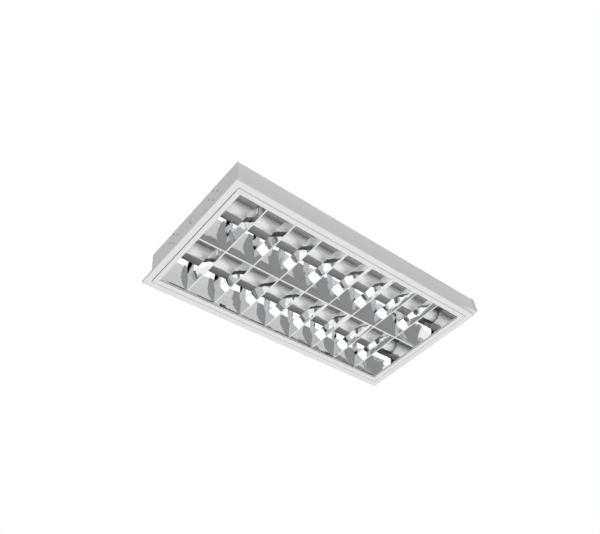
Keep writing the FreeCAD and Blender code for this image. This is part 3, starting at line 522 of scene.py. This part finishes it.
@dataclass
class TubeEnds:
    """Caps of one tube: a crimped metal cup and an insulating disc at each end."""

    number: int
    row_y: float
    maker: Maker
    axis_z: float = 51.5
    faces: tuple[tuple[float, int], ...] = ((-269.5, 1), (320.3, -1))
    cap_radius: float = 12.9
    bore_radius: float = 12.3
    cap_length: float = 8.0
    wall: float = 0.5
    disc_radius: float = 9.4
    disc_step: float = 0.25
    cup_facets: int = 48
    disc_facets: int = 32

    def cup_profile(self, face: float, inward: int) -> list[tuple[float, float]]:
        """Section of the cup with its rolled edge, crimp groove and recessed floor.

        Args:
            face: Place of the cap's outer face along X, in mm.
            inward: 1 or -1, the direction into the tube.

        Returns:
            Pairs of place along X and radius.
        """
        outer, bore = self.cap_radius, self.bore_radius
        steps = (
            (0.25, self.disc_radius - 0.6), (0.25, self.disc_radius), (0.0, self.disc_radius + 0.3),
            (0.0, outer - 1.0), (0.12, outer - 0.5), (0.5, outer - 0.12), (1.0, outer), (4.9, outer),
            (5.3, outer - 0.32), (5.9, outer - 0.32), (6.3, outer), (7.7, outer),
            (self.cap_length, outer - 0.12), (self.cap_length, bore), (self.wall, bore),
            (self.wall, self.disc_radius - 0.6),
        )
        return [(face + inward * x, radius) for x, radius in steps]

    def disc_profile(self, face: float, inward: int) -> list[tuple[float, float]]:
        """Section of the insulating disc that holds the pins in the cup's floor.

        Args:
            face: Place of the cap's outer face along X, in mm.
            inward: 1 or -1, the direction into the tube.

        Returns:
            Pairs of place along X and radius.
        """
        steps = (
            (0.05, 0.0), (0.05, self.disc_radius - 1.0), (self.disc_step - 0.02, self.disc_radius - 0.3),
            (self.wall - 0.03, self.disc_radius - 0.65), (self.wall - 0.03, 0.0),
        )
        return [(face + inward * x, radius) for x, radius in steps]

    def build(self) -> None:
        """Make the caps and discs; the caps stand for the CAD node."""
        axis = (0.0, self.row_y, self.axis_z)
        body = f"tube_{self.number}"
        caps, discs = bmesh.new(), bmesh.new()
        for face, inward in self.faces:
            spun(caps, self.cup_profile(face, inward), axis, self.cup_facets)
            spun(discs, self.disc_profile(face, inward), axis, self.disc_facets)
        cups = self.maker.mesh_piece(f"crimped_caps_{self.number}", caps)
        self.maker.show(cups, body, Finish.CAP_METAL)
        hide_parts(f"tube_{self.number}_caps")
        inserts = self.maker.mesh_piece(f"cap_discs_{self.number}", discs)
        self.maker.show(inserts, body, Finish.DARK_FIBRE_AND_SHADE, False)


@dataclass
class HolderFeetShade:
    """Assumed tips of the lampholders' feet, behind the small holes of an end sheet, dark as painted shade
    in the holes.
    """

    name: str
    outer_x: float
    inward: int
    maker: Maker
    rows: tuple[float, float] = (-62.75, 62.75)
    axis_z: float = 51.5
    circle: float = 12.5
    radius: float = 1.6
    depth: float = 2.3
    feet: int = 4
    facets: int = 16

    def foot_profile(self) -> list[tuple[float, float]]:
        """Section of a foot: a dimpled tip with a rounded rim.

        Returns:
            Pairs of place along X and radius.
        """
        start, inward = self.outer_x + 0.1 * self.inward, self.inward
        steps = (
            (0.35, 0.0), (0.35, 0.7), (0.05, 1.0), (0.0, self.radius - 0.25), (0.25, self.radius),
            (self.depth, self.radius), (self.depth, 0.0),
        )
        return [(start + inward * x, radius) for x, radius in steps]

    def build(self) -> None:
        """Make the feet behind one end sheet, in a circle round each tube's axis."""
        mesh = bmesh.new()
        for row in self.rows:
            for foot in range(self.feet):
                angle = foot * math.tau / self.feet
                y = row + self.circle * math.cos(angle)
                z = self.axis_z + self.circle * math.sin(angle)
                spun(mesh, self.foot_profile(), (0.0, y, z), self.facets)
        # The tips are dark fibre as painted shade, so the holes look dark.
        self.maker.show(self.maker.mesh_piece(self.name, mesh), "housing", Finish.DARK_FIBRE_AND_SHADE, False)


@dataclass
class KnockoutShade:
    """Dark disc behind the round cable knock-out, painted shade for the shadow in its slit; its lip fills
    a part of the slit.
    """

    maker: Maker
    inner_x: float = -284.75
    centre_z: float = 49.0
    radius: float = 11.6
    rim: float = 0.9
    sheet: float = 0.4
    lip_radii: tuple[float, float] = (8.82, 9.98)
    lip_height: float = 0.73
    lip_arc_deg: tuple[float, float] = (-20.0, 86.0)
    facets: int = 48
    lip_facets: int = 24

    def add_lip(self, mesh: bmesh.types.BMesh) -> None:
        """Spin the lip's section through the open part of the slit and close its ends.

        Args:
            mesh: Mesh to add to.
        """
        centre = Vector((0.0, 0.0, self.centre_z))
        inner, outer = self.lip_radii
        back, front = self.inner_x + 0.1, self.inner_x - self.lip_height
        start, end = (math.radians(a) for a in self.lip_arc_deg)
        aside = Vector((0.0, math.cos(start), math.sin(start)))
        ring = [
            mesh.verts.new(centre + Vector((x, 0.0, 0.0)) + aside * radius)
            for x, radius in ((back, inner), (front, inner), (front, outer), (back, outer))
        ]
        edges = [mesh.edges.new(pair) for pair in zip(ring, ring[1:] + ring[:1])]
        bmesh.ops.spin(
            mesh, geom=ring + edges, cent=centre, axis=(1.0, 0.0, 0.0),
            angle=end - start, steps=self.lip_facets, use_merge=False, use_duplicate=False,
        )
        bmesh.ops.holes_fill(mesh, edges=[e for e in mesh.edges if e.is_boundary], sides=4)

    def build(self) -> None:
        """Make the painted shade: a flat disc with a thicker rolled rim, and the lip."""
        steps = (
            (0.0, 0.0), (0.0, self.radius - 0.3), (0.2, self.radius), (self.rim, self.radius),
            (self.rim + 0.2, self.radius - 0.5), (self.rim, self.radius - 1.0),
            (self.sheet, self.radius - 1.3), (self.sheet, 0.0),
        )
        mesh = bmesh.new()
        profile = [(self.inner_x + x, radius) for x, radius in steps]
        spun(mesh, profile, (0.0, 0.0, self.centre_z), self.facets)
        self.add_lip(mesh)
        # The disc and lip are painted shade: dark fibre where the slit holds only shadow.
        self.maker.show(self.maker.mesh_piece("knockout_shade", mesh), "housing", Finish.DARK_FIBRE_AND_SHADE, False)


@dataclass
class GapShadeStrip:
    """Dark strip in the narrow gap between the near end sheet and the louver's rail, painted shade for the
    gap's shadow.
    """

    maker: Maker
    low: Point = (-284.7, -124.0, 0.35)
    high: Point = (-284.12, 131.0, 2.4)
    rounding: float = 0.12

    def build(self) -> None:
        """Make the strip from a box with rounded edges."""
        low, high = Vector(self.low), Vector(self.high)
        size, middle = high - low, (high + low) / 2
        place = Matrix.Translation(middle) @ Matrix.Diagonal((*size, 1.0))
        mesh = bmesh.new()
        bmesh.ops.create_cube(mesh, size=1.0, matrix=place)
        bmesh.ops.bevel(
            mesh, geom=mesh.edges[:], offset=self.rounding, offset_type="OFFSET", segments=3,
            profile=0.5, affect="EDGES", material=-1, clamp_overlap=True,
        )
        # The strip is painted shade: dark fibre standing for the shadow in the gap.
        self.maker.show(self.maker.mesh_piece("gap_shade_strip", mesh), "housing", Finish.DARK_FIBRE_AND_SHADE, False)


@dataclass
class Wiring:
    """Insulated leads laid on smooth curves through their route's points, in mm."""

    name: str
    node: str
    radius: float
    finish: Finish
    routes: tuple[tuple[Point, ...], ...]
    maker: Maker
    ring_resolution: int = 3
    length_resolution: int = 8

    def build(self) -> None:
        """Make one curve with a spline for each lead; it stands for the CAD node."""
        curve = bpy.data.curves.new(self.name, "CURVE")
        curve.dimensions = "3D"
        curve.bevel_depth = self.radius * MM
        curve.bevel_resolution = self.ring_resolution
        curve.use_fill_caps = True
        curve.resolution_u = self.length_resolution
        for route in self.routes:
            spline = curve.splines.new("NURBS")
            spline.points.add(len(route) - 1)
            for point, (x, y, z) in zip(spline.points, route):
                point.co = (x * MM, y * MM, z * MM, 1.0)
            spline.order_u = 3
            spline.use_endpoint_u = True
        piece = bpy.data.objects.new(self.name, curve)
        self.maker.show(piece, "housing", self.finish)
        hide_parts(self.node)


def mirrored(route: tuple[Point, ...]) -> tuple[tuple[Point, ...], ...]:
    """A route and its mirror image across the middle of the light.

    Args:
        route: Points of one lead, in mm.

    Returns:
        The route and its image.
    """
    return route, tuple((x, -y, z) for x, y, z in route)


NEAR_TUBE_ROUTE = (
    (-108.0, 9.0, 58.8), (-139.19, 9.0, 58.8), (-187.59, 18.0, 65.7), (-227.91, 24.0, 65.7),
    (-268.24, 31.0, 64.0), (-276.3, 38.25, 63.0), (-276.3, 50.25, 63.0),
)
FAR_TUBE_ROUTE = (
    (108.0, 9.0, 58.8), (146.81, 9.0, 58.8), (210.44, 18.0, 65.7), (263.47, 24.0, 65.7),
    (316.49, 31.0, 64.0), (327.1, 38.25, 63.0), (327.1, 50.25, 63.0),
)
MAINS_ROUTES = (
    (
        (-216.0, -8.67, 61.8), (-194.0, -8.67, 61.8), (-170.0, -7.83, 64.5), (-140.0, -3.0, 58.8),
        (-108.0, -3.0, 58.8),
    ),
    (
        (-216.0, 0.0, 61.8), (-194.0, 0.0, 61.8), (-170.0, -0.5, 64.5), (-140.0, 3.0, 58.8),
        (-108.0, 3.0, 58.8),
    ),
)
EARTH_ROUTE = ((-216.0, 8.67, 61.8), (-204.0, 8.67, 61.8), (-197.0, 9.0, 67.2), (-188.0, 9.0, 67.2))


@dataclass
class Fittings:
    """All the pieces that are made here rather than carried over."""

    maker: Maker
    row_y: float = 62.75
    near_wall_x: float = -285.5
    far_wall_x: float = 336.3
    twin_radius: float = 1.6
    single_radius: float = 1.2

    def build(self) -> None:
        """Make the tube ends, the dark holder feet, gap strip and knock-out disc that are painted shade,
        and the leads.
        """
        for number, side in ((1, -1), (2, 1)):
            TubeEnds(number, side * self.row_y, self.maker).build()
        HolderFeetShade("holder_feet_shade_near", self.near_wall_x, 1, self.maker).build()
        HolderFeetShade("holder_feet_shade_far", self.far_wall_x, -1, self.maker).build()
        GapShadeStrip(self.maker).build()
        KnockoutShade(self.maker).build()
        twin, single, white = self.twin_radius, self.single_radius, Finish.LEAD_WHITE
        plan = (
            ("tube_wiring_near", "tube_leads_near", twin, white, mirrored(NEAR_TUBE_ROUTE)),
            ("tube_wiring_far", "tube_leads_far", twin, white, mirrored(FAR_TUBE_ROUTE)),
            ("mains_wiring", "mains_leads", single, white, MAINS_ROUTES),
            ("earth_wire", "earth_lead", single, Finish.LEAD_GREEN, (EARTH_ROUTE,)),
        )
        for name, node, radius, finish, routes in plan:
            Wiring(name, node, radius, finish, routes, self.maker).build()


# ---- studio ---------------------------------------------------------------


@dataclass
class SoftLight:
    """Rectangular soft light that shines at a point."""

    name: str
    place: Point
    aim: Point
    size: tuple[float, float]
    power: float

    def make(self) -> None:
        """Add the light to the scene."""
        data = bpy.data.lights.new(self.name, "AREA")
        data.shape = "RECTANGLE"
        data.size, data.size_y = self.size
        data.energy = self.power
        lamp = bpy.data.objects.new(self.name, data)
        lamp.location = self.place
        aim = Vector(self.aim) - Vector(self.place)
        lamp.rotation_euler = aim.to_track_quat("-Z", "Y").to_euler()
        bpy.context.scene.collection.objects.link(lamp)


@dataclass
class GreyCard:
    """Grey card that stands round the object and shows only in its reflections."""

    name: str
    azimuths: tuple[float, float]
    elevations: tuple[float, float]
    distance: float
    grey: float
    step_deg: float = 6.0

    def make(self) -> None:
        """Add the card, bent round the origin, to the scene."""
        mesh = bmesh.new()
        low, high = (self.distance * math.tan(math.radians(e)) for e in self.elevations)
        start, end = (math.radians(a) for a in self.azimuths)
        place = Vector((self.distance * math.cos(start), self.distance * math.sin(start), 0.0))
        ends = [mesh.verts.new((place.x, place.y, z)) for z in (low, high)]
        edge = mesh.edges.new(ends)
        steps = max(2, round(math.degrees(end - start) / self.step_deg))
        bmesh.ops.spin(
            mesh, geom=[edge, *ends], cent=(0.0, 0.0, 0.0), axis=(0.0, 0.0, 1.0),
            angle=end - start, steps=steps, use_merge=False,
        )
        data = bpy.data.meshes.new(self.name)
        mesh.to_mesh(data)
        mesh.free()
        card = bpy.data.objects.new(self.name, data)
        card.visible_camera = False
        card.visible_diffuse = False
        card.visible_shadow = False
        bpy.context.scene.collection.objects.link(card)
        bench = Bench(self.name)
        bench.shader.inputs["Base Color"].default_value = (0.0, 0.0, 0.0, 1.0)
        bench.fix(Roughness=1.0, Specular_IOR_Level=0.0, Emission_Strength=self.grey)
        bench.shader.inputs["Emission Color"].default_value = (1.0, 1.0, 1.0, 1.0)
        data.materials.append(bench.material)


@dataclass
class Studio:
    """White surroundings, pale floor, soft lights, grey cards and the camera.

    The cards' places and greys were chosen for what the mirrors show to the camera.
    """

    ambient: float = 0.42
    floor_z: float = -1.9
    floor_half: float = 5.5
    floor_white: float = 0.5
    floor_colour: Colour = (0.80, 0.80, 0.80)
    lights: tuple[SoftLight, ...] = (
        SoftLight("light_below", (0.0, 0.0, -1.85), (0.0, 0.0, 0.0), (5.0, 5.0), 56.0),
        SoftLight("light_right", (0.70, -0.70, -1.20), (0.0, 0.0, 0.0), (1.0, 0.55), 1.0),
        SoftLight("light_above", (0.3, -0.4, 2.6), (0.0, 0.0, 0.0), (3.0, 3.0), 25.0),
    )
    cards: tuple[GreyCard, ...] = (
        GreyCard("card_round", (-45.0, 280.0), (-20.0, 0.0), 4.6, 0.36),
        GreyCard("card_low", (-80.0, -45.0), (-11.5, 0.0), 4.6, 0.28),
        GreyCard("card_high", (-80.0, -45.0), (-20.0, -11.5), 4.6, 0.66),
        GreyCard("card_side", (-130.0, -96.0), (-43.0, 0.0), 2.0, 0.36),
        GreyCard("card_ahead", (12.0, 95.0), (-61.0, -20.0), 0.95, 0.92),
    )
    lens: float = 41.909
    camera_place: Point = (-0.72405, -0.70414, -0.8919)
    camera_right: Point = (0.76674, -0.636607, -0.08272)
    camera_down: Point = (0.402426, 0.577035, -0.710693)
    camera_forward: Point = (0.500164, 0.511628, 0.698622)

    def add_camera(self) -> None:
        """Place the camera where the photograph was taken from."""
        data = bpy.data.cameras.new("camera")
        data.lens = self.lens
        data.sensor_fit = "HORIZONTAL"
        data.sensor_width = 36.0
        data.clip_start = 0.01
        camera = bpy.data.objects.new("camera", data)
        back = -Vector(self.camera_forward)
        up = -Vector(self.camera_down)
        axes = Matrix((Vector(self.camera_right), up, back)).transposed()
        camera.matrix_world = Matrix.Translation(self.camera_place) @ axes.to_4x4()
        bpy.context.scene.collection.objects.link(camera)
        bpy.context.scene.camera = camera

    def add_world(self) -> None:
        """White behind the object and in its reflections, plain grey light elsewhere."""
        world = bpy.data.worlds.new("studio")
        world.use_nodes = True
        nodes, links = world.node_tree.nodes, world.node_tree.links
        nodes.clear()
        output = nodes.new("ShaderNodeOutputWorld")
        mix = nodes.new("ShaderNodeMixShader")
        fill = nodes.new("ShaderNodeBackground")
        white = nodes.new("ShaderNodeBackground")
        fill.inputs["Color"].default_value = (1.0, 1.0, 1.0, 1.0)
        fill.inputs["Strength"].default_value = self.ambient
        white.inputs["Color"].default_value = (1.0, 1.0, 1.0, 1.0)
        white.inputs["Strength"].default_value = 1.0
        seen = seen_rays(world.node_tree)
        links.new(seen, mix.inputs["Fac"])
        links.new(fill.outputs["Background"], mix.inputs[1])
        links.new(white.outputs["Background"], mix.inputs[2])
        links.new(mix.outputs["Shader"], output.inputs["Surface"])
        bpy.context.scene.world = world

    def add_floor(self) -> None:
        """Plain pale floor, far below the light."""
        mesh = bmesh.new()
        bmesh.ops.create_grid(mesh, x_segments=1, y_segments=1, size=self.floor_half)
        bmesh.ops.translate(mesh, verts=mesh.verts, vec=(0.0, 0.0, self.floor_z))
        data = bpy.data.meshes.new("floor")
        mesh.to_mesh(data)
        mesh.free()
        floor = bpy.data.objects.new("floor", data)
        bpy.context.scene.collection.objects.link(floor)
        bench = Bench("floor")
        bench.shader.inputs["Base Color"].default_value = (*self.floor_colour, 1.0)
        bench.fix(Roughness=0.9)
        white = bench.add("ShaderNodeEmission")
        share = bench.add("ShaderNodeMath", operation="MULTIPLY")
        share.inputs[1].default_value = self.floor_white
        bench.tree.links.new(seen_rays(bench.tree), share.inputs[0])
        mix = bench.add("ShaderNodeMixShader")
        bench.join(share, "Value", mix, "Fac")
        bench.join(bench.shader, "BSDF", mix, 1)
        bench.join(white, "Emission", mix, 2)
        bench.join(mix, "Shader", bench.output, "Surface")
        data.materials.append(bench.material)

    def make(self) -> None:
        """Build the whole studio."""
        bpy.context.scene.view_settings.view_transform = "Standard"
        self.add_world()
        self.add_floor()
        self.add_camera()
        for piece in self.lights + self.cards:
            piece.make()


def seen_rays(tree: bpy.types.NodeTree) -> bpy.types.NodeSocket:
    """Is 1 for the rays that show a surface: camera, glossy and transmission rays.

    Args:
        tree: Node tree to build in.

    Returns:
        The output with the result.
    """
    path = tree.nodes.new("ShaderNodeLightPath")
    first = tree.nodes.new("ShaderNodeMath")
    first.operation = "MAXIMUM"
    second = tree.nodes.new("ShaderNodeMath")
    second.operation = "MAXIMUM"
    tree.links.new(path.outputs["Is Camera Ray"], first.inputs[0])
    tree.links.new(path.outputs["Is Glossy Ray"], first.inputs[1])
    tree.links.new(first.outputs["Value"], second.inputs[0])
    tree.links.new(path.outputs["Is Transmission Ray"], second.inputs[1])
    return second.outputs["Value"]


def main() -> None:
    """Build the pieces in order, then the studio."""
    logging.basicConfig(level=logging.INFO, format="%(name)s: %(message)s")
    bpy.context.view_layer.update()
    dressing = Dressing()
    dressing.dress_nodes()
    Fittings(Maker(dressing)).build()
    Studio().make()


if __name__ == "__main__":
    main()
